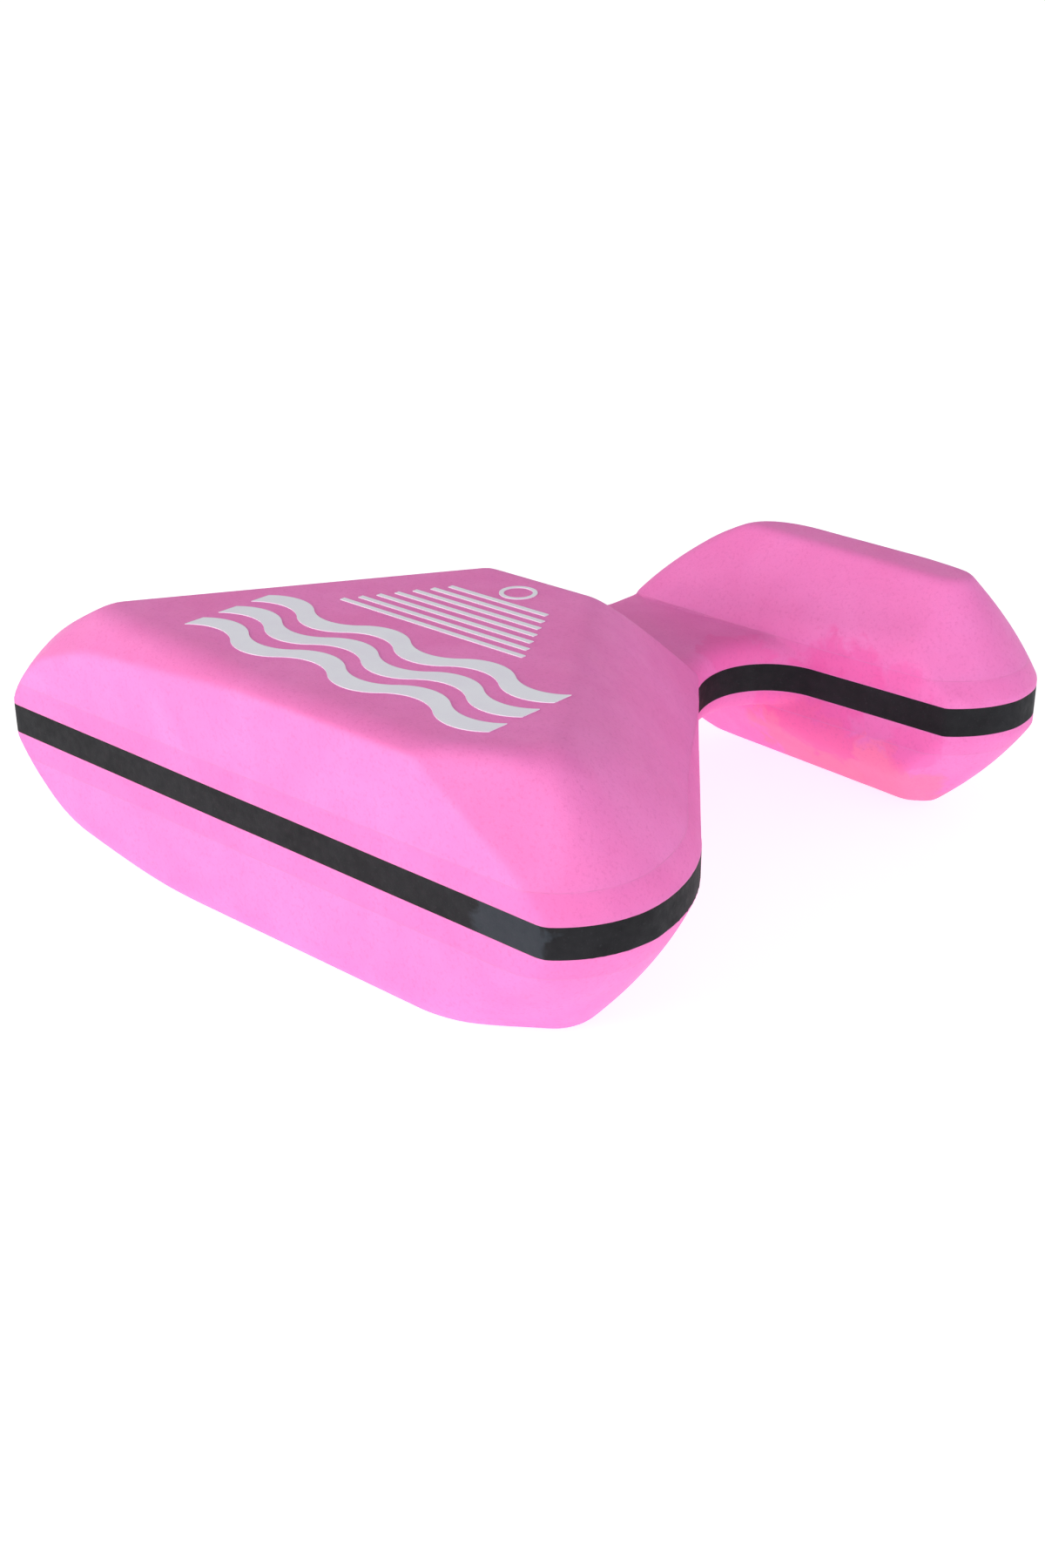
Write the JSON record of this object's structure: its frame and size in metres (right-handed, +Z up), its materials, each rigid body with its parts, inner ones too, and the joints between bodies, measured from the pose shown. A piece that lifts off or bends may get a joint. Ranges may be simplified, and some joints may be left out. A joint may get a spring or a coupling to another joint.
{
  "type": "pull buoy",
  "caption": "Laminated foam pull buoy with a wide lobe and a small hooked lobe joined by a thin waist beside a deep side notch.",
  "frame": {"origin": "middle of the bounding box at floor level, with the part lying flat on its lower faces", "axes": "+Z up through the layers, +Y from the wide end to the small lobe, +X to the side that the notch opens to"},
  "size_m": [0.208, 0.206, 0.069],
  "materials": {
    "pink_foam": "closed-cell EVA foam, cut and buffed, fine grain",
    "black_foam": "closed-cell EVA foam, cut edge, fine grain",
    "contact_glue": "thin cured contact glue",
    "white_ink": "flat screen-printed ink"
  },
  "bodies": {
    "root": {"core_black_sheet": "black_foam", "core_pink_sheet_lower": "pink_foam", "core_pink_sheet_upper": "pink_foam", "large_block_lower": "pink_foam", "large_block_upper": "pink_foam", "small_block_lower": "pink_foam", "small_block_upper": "pink_foam", "glue_film_core_lower": "contact_glue", "glue_film_core_upper": "contact_glue", "glue_film_large_lower": "contact_glue", "glue_film_large_upper": "contact_glue", "glue_film_small_lower": "contact_glue", "glue_film_small_upper": "contact_glue", "printed_waves": "white_ink", "printed_panel": "white_ink"}
  },
  "joints": []
}
